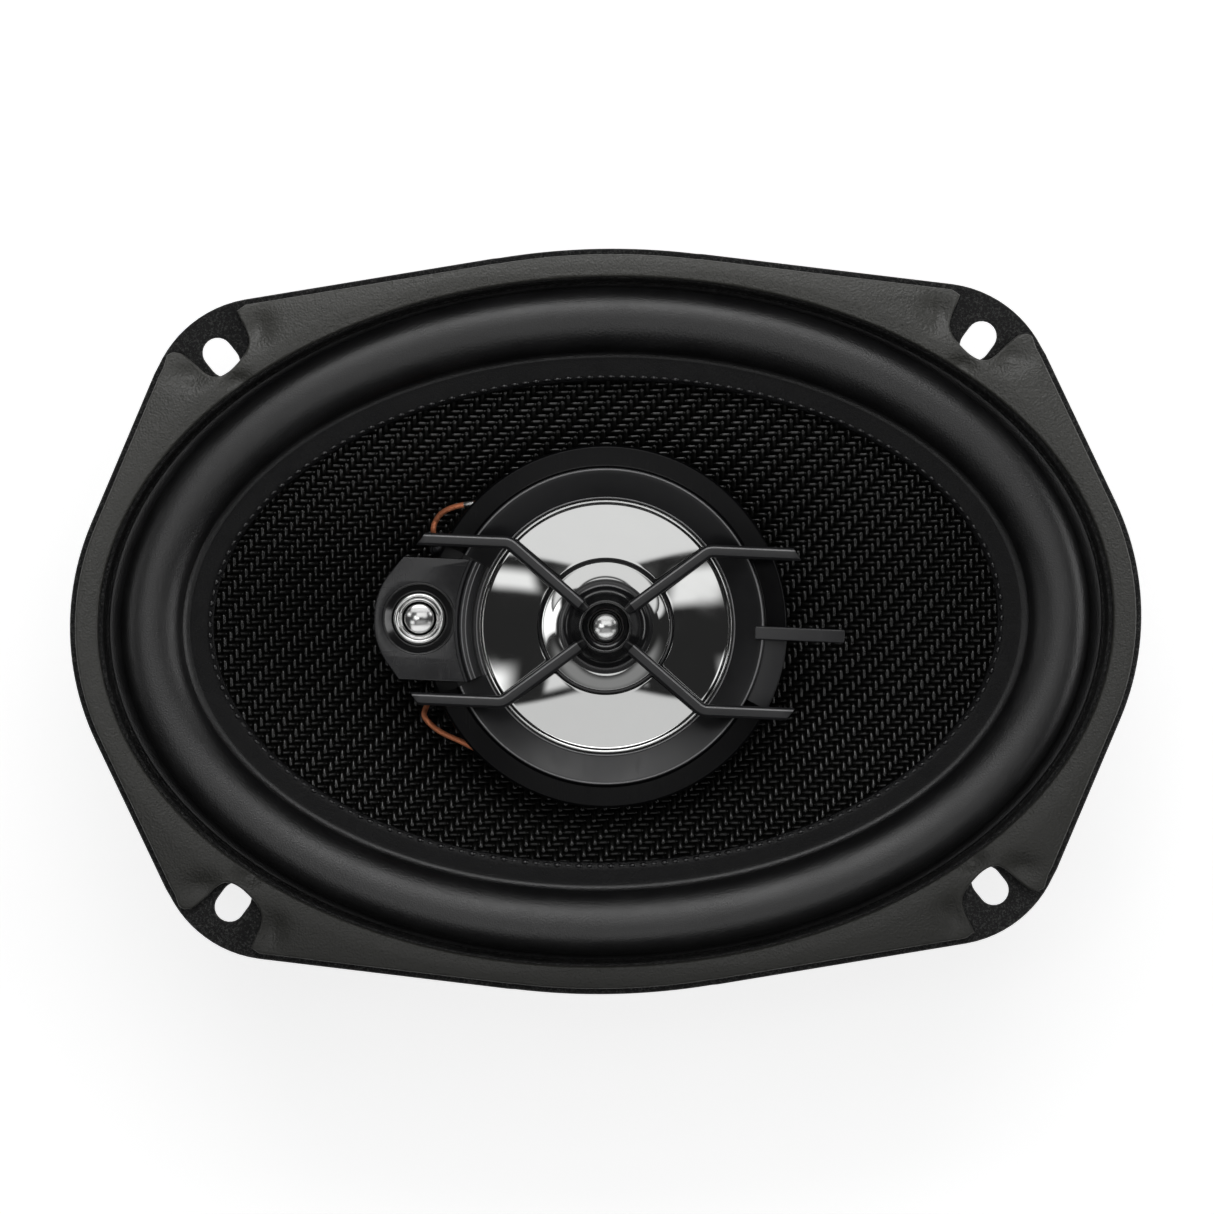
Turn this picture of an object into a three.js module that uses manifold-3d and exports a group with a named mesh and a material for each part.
// Coaxial car speaker, 6 x 9 in class, three-way.
// Millimetres. +Z is the way the speaker faces, +X its long axis, +Y its short axis.
// Heights below are counted from the rear face of the mounting flange; the finished part
// stands on its magnet, with z = 0 at the back of the yoke.
import * as THREE from 'three';
import { mergeVertices } from 'three/addons/utils/BufferGeometryUtils.js';
import Module from 'manifold-3d';

const wasm = await Module();
wasm.setup();

// ---- driving dimensions -------------------------------------------------
// Facets round a full turn, by kind of part.
const FACETS = { oval: 36, fine: 32, round: 24, medium: 18, small: 14, drill: 12, rivet: 8 };
const SHEET = 1.2;                       // stamped steel of the basket
const CLEARANCE = 0.05;                  // between a part and the face it lies on
const FLANGE_IN = [111.3, 75.9];         // flange opening, semi axes
const SHELF_Z = -2.4;                    // surround's seat in the basket
const PLATFORM_Z = -38;                  // spider's seat
const BASKET_BACK_Z = -49.2;
const CONE_RIM = [91.0, 57.4];           // semi axes

// Motor: three discs stacked behind the basket.
const STACK_GAP = 0.1;
const TOP_PLATE = { radius: 40, bore: 16.9, thick: 6, top: BASKET_BACK_Z - STACK_GAP };
TOP_PLATE.bottom = TOP_PLATE.top - TOP_PLATE.thick;
const MAGNET = { radius: 45, bore: 23, thick: 17, top: TOP_PLATE.bottom - STACK_GAP };
MAGNET.bottom = MAGNET.top - MAGNET.thick;
const YOKE = { radius: 40, pole: 14.6, poleTop: -49.6, thick: 6, top: MAGNET.bottom - STACK_GAP };
YOKE.bottom = YOKE.top - YOKE.thick;
const LIFT = -YOKE.bottom;               // flange height above the back of the yoke

// The centre module sits turned about Z and a little towards -Y.
const MODULE_TURN = -3.65;
const MODULE_SHIFT_Y = -1.1;

// ---- finishes -----------------------------------------------------------
const FINISH = {
  blackSteel: { color: 0x141416, roughness: 0.45, metalness: 0.4 },
  zinc: { color: 0xb9bcc0, roughness: 0.35, metalness: 0.9 },
  blackPlastic: { color: 0x17171a, roughness: 0.4, metalness: 0 },
  glossBlack: { color: 0x0c0c0d, roughness: 0.12, metalness: 0 },
  chrome: { color: 0xe8e8ea, roughness: 0.06, metalness: 1 },
  rubber: { color: 0x0e0e0f, roughness: 0.55, metalness: 0 },
  copper: { color: 0xb4552f, roughness: 0.4, metalness: 0.8 },
  gasket: { color: 0x33342f, roughness: 0.85, metalness: 0 },
  magnet: { color: 0x2b2b2d, roughness: 0.7, metalness: 0.1 },
  board: { color: 0x5a3a22, roughness: 0.8, metalness: 0 },
  blade: { color: 0xd9c58a, roughness: 0.3, metalness: 0.9 },
  wooferCone: { color: 0x101011, roughness: 0.6, metalness: 0 },
  spider: { color: 0xc9a24a, roughness: 0.9, metalness: 0 },
  former: { color: 0x9c6b3a, roughness: 0.5, metalness: 0.2 },
  dustRing: { color: 0x1a1a1b, roughness: 0.9, metalness: 0 },
  eyelet: { color: 0xb8b8b4, roughness: 0.4, metalness: 0.9 },
  midrangeBasket: { color: 0x1a1a1c, roughness: 0.5, metalness: 0 },
  midrangeMagnet: { color: 0x77777a, roughness: 0.4, metalness: 0.7 },
  tweeterMagnet: { color: 0x9a9a9c, roughness: 0.4, metalness: 0.8 },
  capacitor: { color: 0x20324a, roughness: 0.4, metalness: 0 },
};

// ---- solids -------------------------------------------------------------
const rad = (degrees) => degrees * Math.PI / 180;

// Welds vertices, drops collapsed triangles and turns the faces outward.
function clean(geometry) {
  let welded = geometry.clone();
  welded.deleteAttribute('normal');
  welded.deleteAttribute('uv');
  welded = mergeVertices(welded, 1e-4);
  const source = welded.index.array;
  const kept = [];
  for (let i = 0; i < source.length; i += 3) {
    const [first, second, third] = source.slice(i, i + 3);
    if (first !== second && second !== third && first !== third) kept.push(first, second, third);
  }
  const corners = [new THREE.Vector3(), new THREE.Vector3(), new THREE.Vector3()];
  let volume = 0;
  for (let i = 0; i < kept.length; i += 3) {
    corners.forEach((corner, k) => {
      corner.fromBufferAttribute(welded.attributes.position, kept[i + k]);
    });
    volume += corners[0].dot(corners[1].cross(corners[2])) / 6;
  }
  if (volume < 0) {
    for (let i = 0; i < kept.length; i += 3) {
      [kept[i + 1], kept[i + 2]] = [kept[i + 2], kept[i + 1]];
    }
  }
  welded.setIndex(kept);
  return welded;
}

function toManifold(geometry) {
  const welded = clean(geometry);
  return new wasm.Manifold(new wasm.Mesh({
    numProp: 3,
    vertProperties: Float32Array.from(welded.attributes.position.array),
    triVerts: Uint32Array.from(welded.index.array),
  }));
}

function toGeometry(manifold) {
  const mesh = manifold.getMesh();
  const geometry = new THREE.BufferGeometry();
  const positions = Float32Array.from(mesh.vertProperties);
  geometry.setAttribute('position', new THREE.BufferAttribute(positions, 3));
  geometry.setIndex(Array.from(mesh.triVerts));
  return geometry;
}

const cut = (body, ...tools) => toGeometry(
  tools.reduce((rest, tool) => rest.subtract(toManifold(tool)), toManifold(body)));
const join = (body, ...more) => toGeometry(
  more.reduce((sum, part) => sum.add(toManifold(part)), toManifold(body)));

// ---- shapes -------------------------------------------------------------
// Turned part about Z from [radius, z] pairs; the profile closes on its first point.
function turned(profile, facets = FACETS.round) {
  const points = [...profile, profile[0]].map(([radius, z]) => new THREE.Vector2(radius, z));
  const geometry = new THREE.LatheGeometry(points, facets);
  geometry.rotateX(Math.PI / 2);
  return clean(geometry);
}

// Square-edged ring; a disc where the inner radius is 0.
const tube = (inner, outer, [bottom, top], facets) => turned([
  [inner, bottom], [outer, bottom], [outer, top], [inner, top],
], facets);

// Ring with both outer edges chamfered.
const chamferedRing = ({ bore, radius, bottom, top }, chamfer) => turned([
  [bore, bottom], [radius - chamfer, bottom], [radius, bottom + chamfer],
  [radius, top - chamfer], [radius - chamfer, top], [bore, top],
]);

// Closed oval loft from [semi axis X, semi axis Y, z] stations.
// The lathe only supplies the triangles; its points are then put on the ovals.
function oval(stations) {
  const closed = [...stations, stations[0]];
  const facets = FACETS.oval;
  const geometry = new THREE.LatheGeometry(
    closed.map(([semiX], i) => new THREE.Vector2(1 + semiX, i)), facets);
  const position = geometry.attributes.position;
  for (let i = 0; i <= facets; i++) {
    const angle = (i % facets) / facets * 2 * Math.PI;
    closed.forEach(([semiX, semiY, z], j) => {
      position.setXYZ(i * closed.length + j, semiX * Math.cos(angle), semiY * Math.sin(angle), z);
    });
  }
  return clean(geometry);
}

const toVectors = (points) => points.map(([x, y]) => new THREE.Vector2(x, y));

function plate(points, [bottom, top], holes = []) {
  const shape = new THREE.Shape(toVectors(points));
  for (const hole of holes) shape.holes.push(new THREE.Path(toVectors(hole)));
  const geometry = new THREE.ExtrudeGeometry(shape, { depth: top - bottom, bevelEnabled: false });
  return geometry.translate(0, 0, bottom);
}

const ellipse = (semiX, semiY, count) => Array.from({ length: count }, (_, i) => {
  const angle = i / count * 2 * Math.PI;
  return [semiX * Math.cos(angle), semiY * Math.sin(angle)];
});

// Points along an arc; angles in degrees.
function arc(radius, [from, to], steps, [x, y] = [0, 0]) {
  return Array.from({ length: steps + 1 }, (_, i) => {
    const angle = rad(from + (to - from) * i / steps);
    return [x + radius * Math.cos(angle), y + radius * Math.sin(angle)];
  });
}

const spread = (middle, half) => [middle - half, middle + half];

const sector = ([inner, outer], angles, heights, steps) => plate(
  [...arc(outer, angles, steps), ...arc(inner, angles, steps).reverse()], heights);

function cylinder(radius, [bottom, top], facets, [x, y] = [0, 0]) {
  const geometry = new THREE.CylinderGeometry(radius, radius, top - bottom, facets);
  geometry.rotateX(Math.PI / 2);
  return geometry.translate(x, y, (bottom + top) / 2);
}

const drills = (radius, places, heights) => places.map(
  (place) => cylinder(radius, heights, FACETS.drill, place));

function box([x0, x1], [y0, y1], [z0, z1]) {
  const geometry = new THREE.BoxGeometry(Math.abs(x1 - x0), y1 - y0, z1 - z0);
  return geometry.translate((x0 + x1) / 2, (y0 + y1) / 2, (z0 + z1) / 2);
}

const LEAD = { radius: 0.5, facets: 5 };
function lead(points, steps) {
  const extrudePath = new THREE.CatmullRomCurve3(points.map((p) => new THREE.Vector3(...p)));
  const section = new THREE.Shape(toVectors(ellipse(LEAD.radius, LEAD.radius, LEAD.facets)));
  return clean(new THREE.ExtrudeGeometry(section, { steps, bevelEnabled: false, extrudePath }));
}

// ---- assembly -----------------------------------------------------------
const object = new THREE.Group();
object.name = 'coaxial_car_speaker';
const MODULE_PLACE = new THREE.Matrix4().makeTranslation(0, MODULE_SHIFT_Y, 0)
  .multiply(new THREE.Matrix4().makeRotationZ(rad(MODULE_TURN)));

function add(name, geometry, finish, place = new THREE.Matrix4()) {
  const placed = clean(geometry);
  placed.applyMatrix4(place);
  placed.translate(0, 0, LIFT);
  placed.computeVertexNormals();
  const material = new THREE.MeshStandardMaterial({ ...finish, flatShading: true });
  const mesh = new THREE.Mesh(placed, material);
  mesh.name = name;
  object.add(mesh);
}

const addToModule = (name, geometry, finish) => add(name, geometry, finish, MODULE_PLACE);

// The four quadrants as [sign of x, sign of y].
const QUADRANTS = [[1, 1], [1, -1], [-1, 1], [-1, -1]];
const DIAGONALS = [45, 135, 225, 315];

// ---- basket: flange, stepped shelf, walls with openings, spider platform, back plate ----
const SIDE_ARC = { radius: 58.8, centre: [59.8, 0], angles: [0, 24.2], steps: 5 };
const EAR_ARC = { radius: 25.9, centre: [74.4, 47.4], angles: [24.2, 81.9], steps: 9 };
const LONG_ARC = { radius: 154, centre: [0, -71.5], angles: [81.9, 90], steps: 4 };
const SLOT = { x: 83.8, y: 60.3, width: 6.6, length: 9.2, angle: 52.4, steps: 5 };
const SHELF_IN = [105.4, 70.6];

// Quarter outline, mirrored into all four quadrants.
function flangeOutline() {
  const quarter = [SIDE_ARC, EAR_ARC, LONG_ARC].flatMap(
    ({ radius, centre, angles, steps }) => arc(radius, angles, steps, centre));
  const half = [...quarter, ...quarter.slice(0, -1).reverse().map(([x, y]) => [-x, y])];
  return [...half, ...half.slice(1, -1).reverse().map(([x, y]) => [x, -y])];
}

// Round-ended mounting slot in one quadrant.
function slotOutline([signX, signY]) {
  const alongX = Math.cos(rad(SLOT.angle)) * signX;
  const alongY = Math.sin(rad(SLOT.angle)) * signY;
  const direction = Math.atan2(alongY, alongX);
  const offset = (SLOT.length - SLOT.width) / 2;
  const points = [];
  for (const end of [1, -1]) {
    for (let i = 0; i <= SLOT.steps; i++) {
      const angle = direction - Math.PI / 2 + Math.PI * i / SLOT.steps + (end < 0 ? Math.PI : 0);
      points.push([
        signX * SLOT.x + end * offset * alongX + SLOT.width / 2 * Math.cos(angle),
        signY * SLOT.y + end * offset * alongY + SLOT.width / 2 * Math.sin(angle),
      ]);
    }
  }
  return points;
}

// [semi axis X, semi axis Y, z]: down the front of the sheet, then back up its rear.
const PRESSING = [
  [FLANGE_IN[0] + 0.6, FLANGE_IN[1] + 0.6, SHEET],
  [...FLANGE_IN, 0.7],
  [110.7, 75.4, SHELF_Z],
  [...SHELF_IN, SHELF_Z],
  [103.0, 68.0, -4.4],
  [60.0, 52.0, -35.6],
  [51.5, 51.0, PLATFORM_Z],
  [43.3, 43.3, PLATFORM_Z],
  [42.2, 42.2, PLATFORM_Z - SHEET],
  [41.6, 41.6, BASKET_BACK_Z + SHEET],
  [20.0, 20.0, BASKET_BACK_Z + SHEET],
  [20.0, 20.0, BASKET_BACK_Z],
  [42.7, 42.7, BASKET_BACK_Z],
  [43.4, 43.4, PLATFORM_Z - SHEET],
  [52.0, 51.6, PLATFORM_Z - SHEET],
  [61.0, 53.1, -36.6],
  [104.2, 69.4, -5.1],
  [106.0, 71.2, SHELF_Z - SHEET],
  [111.9, 76.5, SHELF_Z - SHEET],
  [112.5, 77.1, 0],
];

// Eight openings in the wall, each a trapezoid with eased corners seen along Z.
// Semi axes of their edges; the opening at -X, behind the terminals, reaches further in.
const OPENING = {
  count: 8, steps: 4, outer: [97.5, 64.6], inner: [63.5, 54.8], innerAtTerminals: [51.7, 53.5],
  outerCorner: 0.965, innerCorner: 1.03, axisHalfAngle: 16.5, diagonalHalfAngle: 14.5,
};

function wallOpening(k) {
  const middle = k * Math.PI / 4;
  const half = rad(k % 2 ? OPENING.diagonalHalfAngle : OPENING.axisHalfAngle);
  const edge = ([semiX, semiY], corner) => Array.from({ length: OPENING.steps + 1 }, (_, i) => {
    const angle = middle - half + 2 * half * i / OPENING.steps;
    const scale = i === 0 || i === OPENING.steps ? corner : 1;
    return [semiX * scale * Math.cos(angle), semiY * scale * Math.sin(angle)];
  });
  const inner = k === 4 ? OPENING.innerAtTerminals : OPENING.inner;
  return plate([
    ...edge(OPENING.outer, OPENING.outerCorner),
    ...edge(inner, OPENING.innerCorner).reverse(),
  ], [-60, 4]);
}

const FRAME_RIVETS = DIAGONALS.map((angle) => [31 * Math.cos(rad(angle)), 31 * Math.sin(rad(angle))]);
const FRAME_RIVET_HOLE = 2.0;
const FRAME_DRILL = [-60, -40];          // heights the drill passes through
const EAR = { outer: -71, inner: -44.5, halfWidth: 13 };
const LUG = { x: -58.5, y: 5.2 };        // blade rivets, at -y and +y
const BOARD_RIVETS = [[-66.5, -10.6], [-66.5, 10.6]];
const BLADE_RIVETS = [[LUG.x, -LUG.y], [LUG.x, LUG.y]];
const TERMINAL_RIVET_HOLE = 1.35;
const TERMINAL_DRILL = [-45, -30];

function basket() {
  const flange = plate(flangeOutline(), [0, SHEET],
    [ellipse(...FLANGE_IN, FACETS.oval), ...QUADRANTS.map(slotOutline)]);
  const openings = Array.from({ length: OPENING.count }, (_, k) => wallOpening(k));
  const terminalEar = box([EAR.outer, EAR.inner], spread(0, EAR.halfWidth),
    [PLATFORM_Z - SHEET, PLATFORM_Z]);
  const frame = cut(join(flange, oval(PRESSING)), ...openings);
  return cut(join(frame, terminalEar),
    ...drills(FRAME_RIVET_HOLE, FRAME_RIVETS, FRAME_DRILL),
    ...drills(TERMINAL_RIVET_HOLE, BOARD_RIVETS, TERMINAL_DRILL),
    ...drills(2.4, BLADE_RIVETS, TERMINAL_DRILL));
}
add('basket', basket(), FINISH.blackSteel);

// ---- gasket: follows the flange, cut back round each mounting slot ----
const GASKET = { thick: 2.0, opening: [111.9, 76.1], inset: 1.45, stretchY: 1.25 };
// [x, y] of the cut in the +X +Y quadrant; its far side lies outside the gasket.
const GASKET_NOTCH = [
  [76.4, 72.5], [76.7, 66.4], [77.6, 61.6], [78.9, 58.3], [81.0, 55.4], [84.2, 53.4],
  [88.0, 54.4], [91.4, 56.9], [95.5, 58.0], [100, 62], [94, 76], [84, 80], [76.4, 78],
];

function gasket() {
  const outline = flangeOutline().map(([x, y]) => {
    const shrink = GASKET.inset / Math.hypot(x, y * GASKET.stretchY);
    return [x * (1 - shrink), y * (1 - shrink)];
  });
  const notches = QUADRANTS.map(([signX, signY]) => plate(
    GASKET_NOTCH.map(([x, y]) => [signX * x, signY * y]), [-1, 6]));
  const bottom = SHEET + CLEARANCE;
  const opening = ellipse(...GASKET.opening, FACETS.oval);
  return cut(plate(outline, [bottom, bottom + GASKET.thick], [opening]), ...notches);
}
add('gasket', gasket(), FINISH.gasket);

// ---- magnet motor ----
add('top_plate', cut(chamferedRing(TOP_PLATE, 0.5),
  ...drills(FRAME_RIVET_HOLE, FRAME_RIVETS, FRAME_DRILL)), FINISH.zinc);
add('magnet_ring', chamferedRing(MAGNET, 1), FINISH.magnet);

// Back plate and pole in one, bored through and counterbored from behind.
const YOKE_BORE = { radius: 3.4, counterbore: 6.2, depth: 3.4 };
add('pole_yoke', turned([
  [YOKE_BORE.radius, YOKE.bottom + YOKE_BORE.depth],
  [YOKE_BORE.counterbore, YOKE.bottom + YOKE_BORE.depth],
  [YOKE_BORE.counterbore, YOKE.bottom],
  [YOKE.radius - 0.8, YOKE.bottom], [YOKE.radius, YOKE.bottom + 0.8],
  [YOKE.radius, YOKE.top - 0.6], [YOKE.radius - 0.6, YOKE.top],
  [YOKE.pole + 1.5, YOKE.top], [YOKE.pole, YOKE.top + 1.5],
  [YOKE.pole, YOKE.poleTop - 0.6], [YOKE.pole - 0.6, YOKE.poleTop],
  [YOKE_BORE.radius, YOKE.poleTop],
]), FINISH.zinc);

// One rivet per name, all turned from the same [radius, z] profile.
function addRivets(names, places, profile) {
  places.forEach(([x, y], i) => {
    add(names[i], turned(profile, FACETS.rivet).translate(x, y, 0), FINISH.zinc);
  });
}
addRivets(FRAME_RIVETS.map((_, i) => `frame_rivet_${i + 1}`), FRAME_RIVETS, [
  [0, -55.0], [1.9, -55.0], [1.9, -47.9], [3.4, -47.9], [3.1, -47.1], [1.8, -46.6], [0, -46.5],
]);

// Long screw from the back, through the pole, into the post that carries the module.
add('post_screw', turned([
  [0, -77.7], [4.6, -77.7], [5.3, -77.0], [5.3, -75.2], [3.0, -75.2], [3.0, -22.0], [0, -22.0],
], FACETS.small), FINISH.zinc);
const POST = { bore: 3.1, radius: 5.6, bottom: -49.5 };
add('module_post', turned([
  [POST.bore, POST.bottom], [POST.radius, POST.bottom], [POST.radius, -20.2], [7.6, -17.6],
  [12.4, -17.3], [12.4, -16.2], [0, -16.2], [0, -20.4], [POST.bore, -20.4],
], FACETS.small), FINISH.blackPlastic);

// ---- terminals ----
const BOARD = { inner: -53, halfWidth: 12.5, thick: 1.6, bottom: PLATFORM_Z + CLEARANCE };
BOARD.top = BOARD.bottom + BOARD.thick;
add('terminal_board', cut(
  box([EAR.outer, BOARD.inner], spread(0, BOARD.halfWidth), [BOARD.bottom, BOARD.top]),
  ...drills(TERMINAL_RIVET_HOLE, [...BOARD_RIVETS, ...BLADE_RIVETS], TERMINAL_DRILL),
), FINISH.board);
addRivets(['terminal_board_rivet_1', 'terminal_board_rivet_2'], BOARD_RIVETS, [
  [0, -40.1], [1.9, -40.1], [1.9, -39.3], [1.25, -39.3],
  [1.25, -36.3], [1.9, -36.3], [1.7, -35.7], [0, -35.5],
]);
addRivets(['terminal_rivet_negative', 'terminal_rivet_positive'], BLADE_RIVETS, [
  [0, -38.7], [2.0, -38.7], [2.0, -38.0], [1.25, -38.0],
  [1.25, -35.4], [2.0, -35.4], [1.8, -34.9], [0, -34.7],
]);

// Solder end towards the centre, blade outside with its corners chamfered.
const BLADE = {
  inner: -53.4, shoulder: -60.5, tip: -80.2, chamfer: 1.0, solderHalfWidth: 2.0,
  tipHole: 0.9, tipHoleX: -75.8, thick: 0.8, bottom: BOARD.top + CLEARANCE,
};
function blade(y, width) {
  const { inner, shoulder, tip, chamfer, solderHalfWidth, bottom } = BLADE;
  const [low, high] = spread(y, width / 2);
  const outline = [
    [inner, y - solderHalfWidth], [inner, y + solderHalfWidth],
    [shoulder, high], [tip + chamfer, high], [tip, high - chamfer],
    [tip, low + chamfer], [tip + chamfer, low], [shoulder, low],
  ];
  return cut(plate(outline, [bottom, bottom + BLADE.thick]),
    ...drills(TERMINAL_RIVET_HOLE, [[LUG.x, y]], TERMINAL_DRILL),
    ...drills(BLADE.tipHole, [[BLADE.tipHoleX, y]], TERMINAL_DRILL));
}
add('terminal_positive', blade(LUG.y, 6.3), FINISH.blade);
add('terminal_negative', blade(-LUG.y, 4.8), FINISH.blade);

// ---- woofer cone: slightly bowed, round at the neck and oval at the rim ----
const CONE = { neckRadius: 15.65, neckZ: -27, rise: 24.0, bow: 0.08, stations: [0, 0.2, 0.6, 1] };

// Front face at a share of the way from neck (0) to rim (1).
function coneStation(share) {
  const { neckRadius, neckZ, rise, bow } = CONE;
  return [
    neckRadius + (CONE_RIM[0] - neckRadius) * share,
    neckRadius + (CONE_RIM[1] - neckRadius) * share,
    neckZ + rise * ((1 + bow) * share - bow * share * share),
  ];
}

// Height of the cone's front at a point, by halving the interval.
function coneHeight(x, y) {
  let low = 0;
  let high = 1;
  for (let i = 0; i < 40; i++) {
    const middle = (low + high) / 2;
    const [semiX, semiY] = coneStation(middle);
    if ((x / semiX) ** 2 + (y / semiY) ** 2 > 1) low = middle;
    else high = middle;
  }
  return coneStation(low)[2];
}

// side is the sign of y; bends are [x, y] where the rear lead turns.
const EYELETS = [
  { name: 'upper', side: 1, x: -37.4, y: 16.9, bends: [[-40.0, 15.2], [-46.5, 11.5], [-51.5, 7.5]] },
  {
    name: 'lower', side: -1, x: -40.3, y: -17.2,
    bends: [[-42.4, -15.4], [-47.5, -11.5], [-51.8, -7.5]],
  },
].map((eyelet) => ({ ...eyelet, z: coneHeight(eyelet.x, eyelet.y) }));

const coneFront = CONE.stations.map(coneStation);
const coneRear = coneFront.map(([semiX, semiY, z]) => [semiX + 0.15, semiY + 0.25, z - 0.62]);
add('woofer_cone', cut(oval([...coneFront, ...coneRear.reverse()]),
  ...drills(1.25, EYELETS.map(({ x, y }) => [x, y]), [-40, 0])), FINISH.wooferCone);

// ---- surround: half roll between the basket's shelf and the cone ----
const ROLL = { outer: [107.0, 73.75], inner: [94.25, 60.25], height: 6.2, steps: 6 };
const SURROUND = {
  outer: [110.2, 74.9], inner: [87.0, 53.4], halfThick: 0.45,
  rear: SHELF_Z + CLEARANCE, front: SHELF_Z + 0.85,
};

function surround() {
  const front = [];
  const rear = [];
  for (let i = 0; i <= ROLL.steps; i++) {
    const angle = Math.PI * i / ROLL.steps;
    const across = (1 - Math.cos(angle)) / 2;
    const [semiX, semiY] = ROLL.outer.map((outer, k) => outer + (ROLL.inner[k] - outer) * across);
    const bulge = SURROUND.halfThick * Math.cos(angle);
    const lift = Math.sin(angle);
    front.push([semiX + bulge, semiY + bulge, SURROUND.front + (ROLL.height - 0.1) * lift]);
    rear.push([semiX - bulge, semiY - bulge, SURROUND.rear + (ROLL.height - 0.15) * lift]);
  }
  return oval([
    [...SURROUND.outer, SURROUND.rear], [...SURROUND.outer, SURROUND.front],
    ...front,
    [91.6, 57.9, SHELF_Z + 0.5], [89.2, 55.6, -2.35], [...SURROUND.inner, -3.1],
    [...SURROUND.inner, -3.55], [89.3, 55.7, -2.85], [91.3, 57.6, -2.35], [92.2, 58.3, -2.35],
    ...rear.reverse(),
  ]);
}
add('surround', surround(), FINISH.rubber);

// ---- spider: corrugated disc from the platform to the former ----
const SPIDER = { inner: 16.6, outer: 42.0, steps: 8, middleZ: PLATFORM_Z + 1.0, thick: 0.5 };

function spider() {
  const front = Array.from({ length: SPIDER.steps + 1 }, (_, i) => [
    SPIDER.inner + (SPIDER.outer - SPIDER.inner) * i / SPIDER.steps,
    SPIDER.middleZ + (i % 2 ? 1.1 : -0.6),
  ]);
  const rear = front.map(([radius, z]) => [radius - 0.05, z - SPIDER.thick]).reverse();
  return turned([
    [15.6, -35.2], ...front, [43.6, PLATFORM_Z + 0.6], [50.2, PLATFORM_Z + 0.6],
    [50.2, PLATFORM_Z + CLEARANCE], [43.2, PLATFORM_Z + CLEARANCE], ...rear, [15.6, -36.0],
  ]);
}
add('spider', spider(), FINISH.spider);

// ---- voice coil ----
const FORMER = { radius: 15.5, thick: 0.35 };
add('voice_coil_former', tube(FORMER.radius - FORMER.thick, FORMER.radius, [-61, -26.2]),
  FINISH.former);
add('voice_coil', tube(15.58, 16.15, [-59, -46]), FINISH.copper);
add('dust_ring', turned([
  [8.2, -28.2], [14.95, -28.2], [14.95, -26.6], [14.4, -26.6], [14.4, -27.7], [8.2, -27.7],
], FACETS.medium), FINISH.dustRing);

// ---- cone eyelets and rear leads ----
// [radius, height above the cone's front]
const EYELET_PROFILE = [
  [0, -2.4], [1.7, -2.4], [1.7, -1.75], [1.1, -1.75], [1.1, 0.95], [1.7, 0.95], [1.6, 1.4], [0, 1.6],
];
for (const { name, x, y, z } of EYELETS) {
  const profile = EYELET_PROFILE.map(([radius, height]) => [radius, z + height]);
  add(`cone_eyelet_${name}`, turned(profile, FACETS.rivet).translate(x, y, 0), FINISH.eyelet);
}
// From behind each eyelet to the solder end of a blade.
for (const { name, side, x, y, z, bends: [first, second, third] } of EYELETS) {
  add(`rear_lead_${name}`, lead([
    [x, y, z - 3.05], [...first, z - 7.5], [...second, z - 12], [...third, -34.0],
    [-54.6, side * LUG.y, -34.75],
  ], 8), FINISH.copper);
}

// ---- module tray ----
const TRAY = { radius: 40.3, rim: 34.8, throat: 28.4 };

function moduleTray() {
  const dish = turned([
    [TRAY.throat, -0.4], [TRAY.rim - 0.7, 2.25], [TRAY.rim - 0.25, 2.5], [TRAY.rim + 0.15, 2.3],
    [TRAY.rim + 0.5, -1.7], [TRAY.radius - 0.4, -1.9], [TRAY.radius, -2.3], [TRAY.radius, -3.0],
    [TRAY.radius - 0.3, -3.3], [33.9, -3.3], [33.3, 0.6], [TRAY.throat + 0.7, -1.5],
    [TRAY.throat, -1.5],
  ], FACETS.fine);
  // Finger bar towards +X, and a raised land beside it on its -Y side.
  const finger = box([32.9, 52.8], [-1.5, 1.5], [0.9, 3.4]);
  const land = sector([34.9, 40.2], [-25, -0.5], [-3.0, 0.9], 8);
  // Room for the super-tweeter pod at -X.
  const podRoom = sector([30.9, 62], spread(180, 24.7), [-1.2, 6], 12);
  return join(cut(dish, podRoom), finger, land);
}
addToModule('module_tray', moduleTray(), FINISH.blackPlastic);

// ---- midrange ----
// Basket: hangs under the tray and carries the motor; four windows between its legs.
addToModule('midrange_basket', cut(turned([
  [28.9, -3.6], [33.0, -3.6], [33.0, -4.5], [29.8, -4.7], [21.2, -11.6], [15.0, -12.4],
  [9.2, -12.4], [9.2, -11.6], [15.0, -11.6], [20.6, -10.8], [28.2, -4.7],
]), ...DIAGONALS.map((angle) => sector([21.8, 28.2], spread(angle, 26), [-14, -3], 3))),
FINISH.midrangeBasket);

const MIDRANGE = { radius: 28.0, rimZ: -0.45, slope: Math.tan(rad(13)), neck: 11.1 };
const midrangeZ = (radius) => MIDRANGE.rimZ - (MIDRANGE.radius - radius) * MIDRANGE.slope;
const midrangeNeckZ = midrangeZ(MIDRANGE.neck);
addToModule('midrange_cone', turned([
  [8.6, midrangeNeckZ - 1.3], [11.1, midrangeNeckZ - 1.0], [11.3, midrangeNeckZ + 0.25],
  [14.2, midrangeZ(14.5) + 0.35], [14.6, midrangeZ(14.5) - 0.25], [15.0, midrangeZ(15.0)],
  [27.4, midrangeZ(27.4)], [27.7, midrangeZ(27.7) + 0.45],
  [MIDRANGE.radius, MIDRANGE.rimZ + 0.45], [28.05, MIDRANGE.rimZ - 0.5],
  [27.4, midrangeZ(27.4) - 0.6], [14.6, midrangeZ(14.6) - 0.75],
  [11.0, midrangeNeckZ - 1.6], [8.6, midrangeNeckZ - 1.9],
], FACETS.fine), FINISH.chrome);
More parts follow.
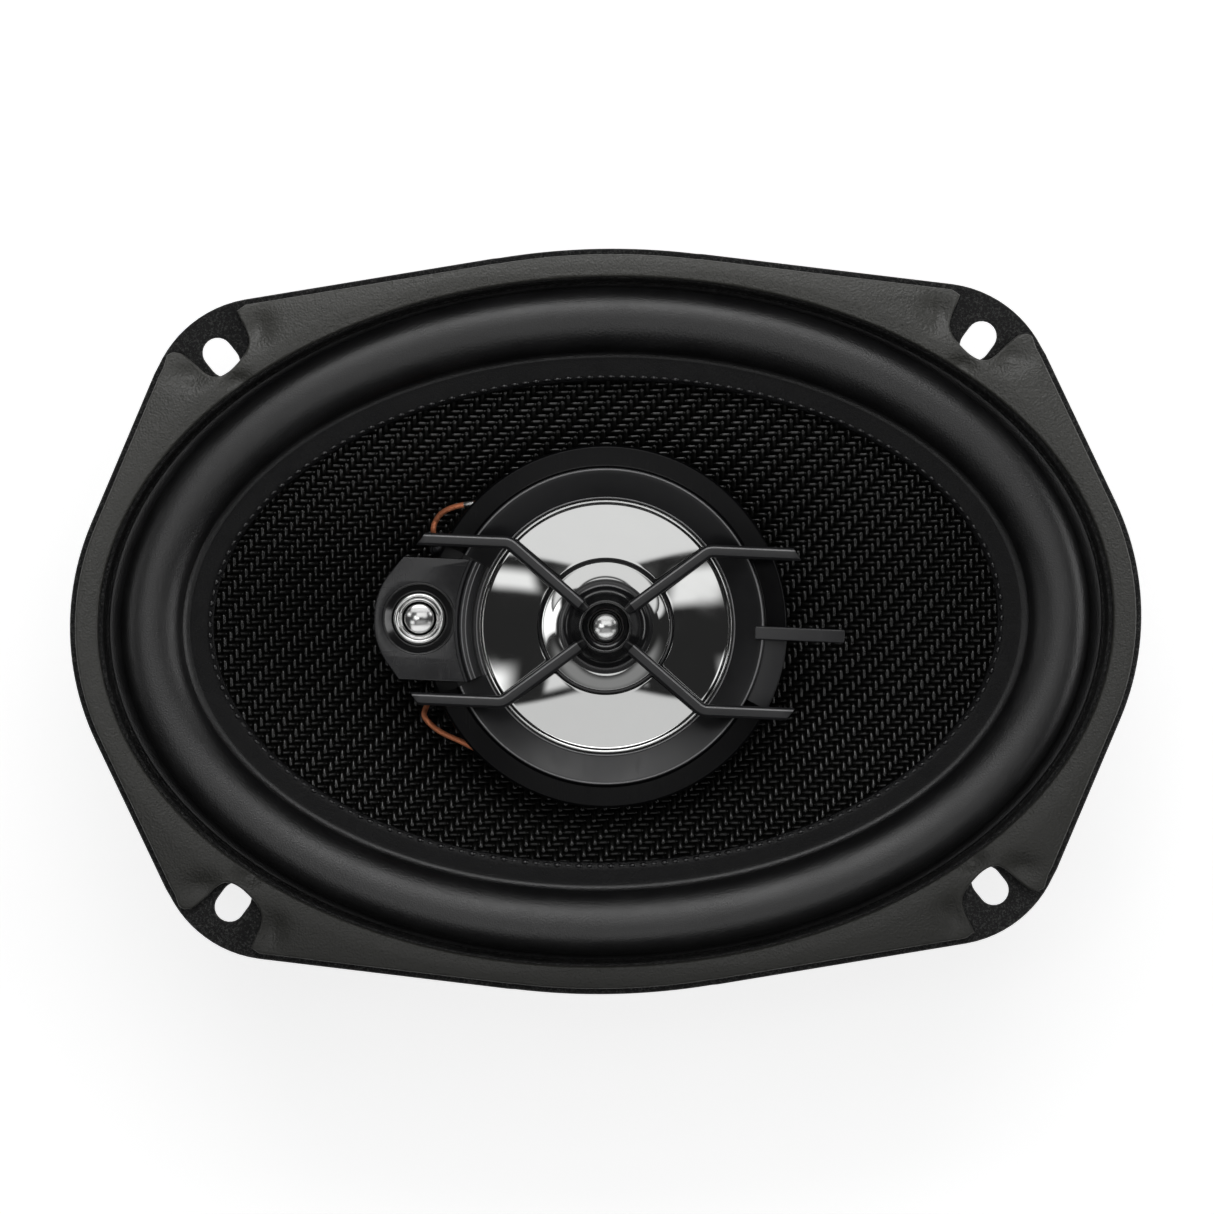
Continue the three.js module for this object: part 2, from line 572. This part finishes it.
addToModule('midrange_surround', turned([
  [27.2, -1.75], [28.6, -1.75], [29.2, -2.2], [30.0, -2.2], [30.6, -2.9], [32.6, -3.0],
  [32.6, -3.5], [30.3, -3.5], [29.6, -2.8], [28.9, -2.7], [28.3, -2.2], [27.2, -2.2],
]), FINISH.rubber);
addToModule('midrange_former', tube(8.2, 8.5, [-14.2, midrangeNeckZ - 1.0], FACETS.small),
  FINISH.former);
addToModule('midrange_coil', tube(8.56, 8.85, [-13.9, -11.2], FACETS.small), FINISH.copper);

// Pot magnet behind the midrange basket.
addToModule('midrange_yoke', turned([
  [0, -15.9], [15.6, -15.9], [16.0, -15.5], [16.0, -12.5], [9.2, -12.5], [9.2, -13.3],
  [13.6, -13.3], [13.6, -14.9], [0, -14.9],
], FACETS.medium), FINISH.zinc);
addToModule('midrange_magnet', tube(0, 7.6, [-14.8, -13.0], FACETS.small), FINISH.midrangeMagnet);
addToModule('midrange_pole_cap', turned([
  [0, -12.9], [7.7, -12.9], [7.7, -11.4], [3.2, -11.4], [3.2, -9.6], [0, -9.6],
], FACETS.small), FINISH.zinc);

// ---- bridge: hub, four arms and four straight bars, with legs down to the tray ----
const BRIDGE = { bottom: 4.4, top: 6.6, width: 2.1 };
const ARM = { start: 8.0, x: 22.0, y: 17.6, overlap: 0.6 };
const BAR = { start: ARM.x - 0.9, end: 42.2, bevel: 0.9 };
const LEG = { inner: 32.0, outer: 35.4, halfWidth: 1.0, bottom: -1.62, top: BRIDGE.bottom + 0.3 };

function bridgeQuarter([signX, signY]) {
  const heights = [BRIDGE.bottom, BRIDGE.top];
  const arm = box([ARM.start, Math.hypot(ARM.x, ARM.y) + ARM.overlap],
    spread(0, BRIDGE.width / 2), heights);
  arm.rotateZ(Math.atan2(ARM.y * signY, ARM.x * signX));
  // The bevelled tip is longer on its -Y edge; the bar at -X +Y is the other way round.
  const bevel = BAR.bevel * (signX < 0 && signY > 0 ? -0.9 : 1);
  const middleY = signY * ARM.y;
  const [low, high] = spread(middleY, BRIDGE.width / 2);
  const bar = plate([
    [signX * BAR.start, low], [signX * (BAR.end + bevel), low],
    [signX * (BAR.end - bevel), high], [signX * BAR.start, high],
  ], heights);
  const leg = box([signX * LEG.inner, signX * LEG.outer], spread(middleY, LEG.halfWidth),
    [LEG.bottom, LEG.top]);
  return [arm, bar, leg];
}
const hub = turned([
  [7.0, 1.8], [9.4, 1.8], [10.2, 2.6], [10.2, 6.4], [7.0, 6.4],
], FACETS.medium);
addToModule('bridge_guard', join(hub, ...QUADRANTS.flatMap(bridgeQuarter)), FINISH.blackPlastic);

// ---- tweeter on the bridge: flared housing with a short horn mouth, motor behind ----
addToModule('tweeter_housing', turned([
  [5.2, 12.6], [5.75, 12.9], [6.2, 12.6], [7.0, 11.2], [8.6, 8.4], [10.3, 7.1], [10.4, 6.7],
  [6.9, 6.7], [6.9, 2.2], [5.6, 2.2], [5.6, 6.4], [4.0, 7.3], [4.3, 9.4],
]), FINISH.glossBlack);
addToModule('tweeter_cup', turned([
  [0, 0.9], [9.2, 0.9], [9.5, 1.2], [9.5, 1.7], [5.5, 1.7], [5.5, 5.3], [4.2, 5.3], [4.2, 2.3],
  [0, 2.3],
]), FINISH.zinc);
addToModule('tweeter_magnet', tube(0, 3.1, [2.35, 5.0], FACETS.small), FINISH.tweeterMagnet);
addToModule('tweeter_dome', turned([
  [0, 7.75], [1.0, 7.6], [1.9, 7.1], [2.6, 6.3], [3.0, 5.6], [3.7, 5.6], [3.7, 5.45],
  [2.85, 5.45], [2.4, 6.2], [1.75, 6.85], [0.9, 7.35], [0, 7.5],
]), FINISH.chrome);
addToModule('tweeter_coil', tube(3.4, 3.65, [3.3, 5.4], FACETS.small), FINISH.copper);

// ---- super-tweeter pod at -X: plate, body behind it, chrome horn ring and dome ----
const POD_X = -41.3;
const turnedAtPod = (profile, facets) => turned(profile, facets).translate(POD_X, 0, 0);

function superTweeterPod() {
  // An arc on the midrange side, then [x, y] points round the outer end.
  const face = plate([
    ...arc(33.2, spread(180, 24.2), 10),
    [-45.2, -13.6], [-49.2, -8.6], [-50.9, -4.2], [-51.3, 0], [-50.9, 4.2], [-49.2, 8.6],
    [-45.2, 13.6],
  ], [-0.95, 3.6]);
  // Curved fence between the pod's face and the midrange, where the tray's rim is cut away.
  const fence = cut(sector([31.2, 33.4], spread(180, 24), [-0.9, 4.6], 12), turned([
    [20, -0.8], [28.45, -0.8], [32.2, 4.7], [20, 4.7],
  ], FACETS.fine));
  // Round body behind the face, kept only outside the tray's edge.
  const body = cut(cylinder(7.4, [-3.4, -0.9], 26, [POD_X, 0]), cylinder(40.7, [-4, -0.97], 40));
  const mouth = turnedAtPod([
    [8.0, 4.3], [7.6, 3.55], [5.9, 2.2], [5.9, -1.05], [0, -1.05], [0, 5.0], [8.0, 5.0],
  ], FACETS.medium);
  return cut(join(face, fence, body), mouth);
}
addToModule('super_tweeter_pod', superTweeterPod(), FINISH.blackPlastic);
addToModule('super_tweeter_cover', turnedAtPod([
  [0, -5.6], [6.8, -5.6], [7.6, -4.8], [7.6, -3.45], [6.9, -3.45], [6.9, -4.5], [6.4, -4.9],
  [0, -4.9],
]), FINISH.blackPlastic);
addToModule('horn_ring', turnedAtPod([
  [4.5, -0.9], [5.8, -0.9], [5.8, 2.3], [5.4, 2.7], [4.9, 2.3], [4.5, 1.2],
], FACETS.medium), FINISH.chrome);
addToModule('super_tweeter_dome', turnedAtPod([
  [0, 1.9], [1.2, 1.7], [2.2, 1.15], [2.9, 0.35], [3.2, -0.35], [3.2, -0.7], [0, -0.7],
]), FINISH.chrome);

// ---- crossover capacitors behind the tray, lying along Y ----
const capacitor = (x, radius, length) => new THREE.CylinderGeometry(radius, radius, length, 20)
  .translate(x, 0, -15.5);
addToModule('midrange_capacitor', capacitor(19.5, 2.9, 9.5), FINISH.capacitor);
addToModule('tweeter_capacitor', capacitor(-19.2, 2.6, 8.5), FINISH.capacitor);

// ---- front leads: from the cone's eyelets to the underside of the tray ----
const [upperZ, lowerZ] = EYELETS.map(({ z }) => z);
add('front_lead_upper', lead([
  [-37.5, 17.6, upperZ + 2.5], [-38.1, 20.0, upperZ + 5.2], [-37.9, 23.0, -11.0],
  [-36.1, 25.0, -8.0], [-33.9, 26.0, -6.0], [-31.1, 26.6, -4.9], [-28.1, 26.9, -4.2],
], 12), FINISH.copper);
add('front_lead_lower', lead([
  [-40.3, -17.8, lowerZ + 2.5], [-41.1, -20.0, lowerZ + 4.8], [-39.8, -22.2, -11.0],
  [-37.0, -24.0, -8.0], [-33.1, -25.9, -5.8], [-30.1, -27.4, -4.6], [-28.4, -28.2, -4.2],
], 12), FINISH.copper);

export default object;
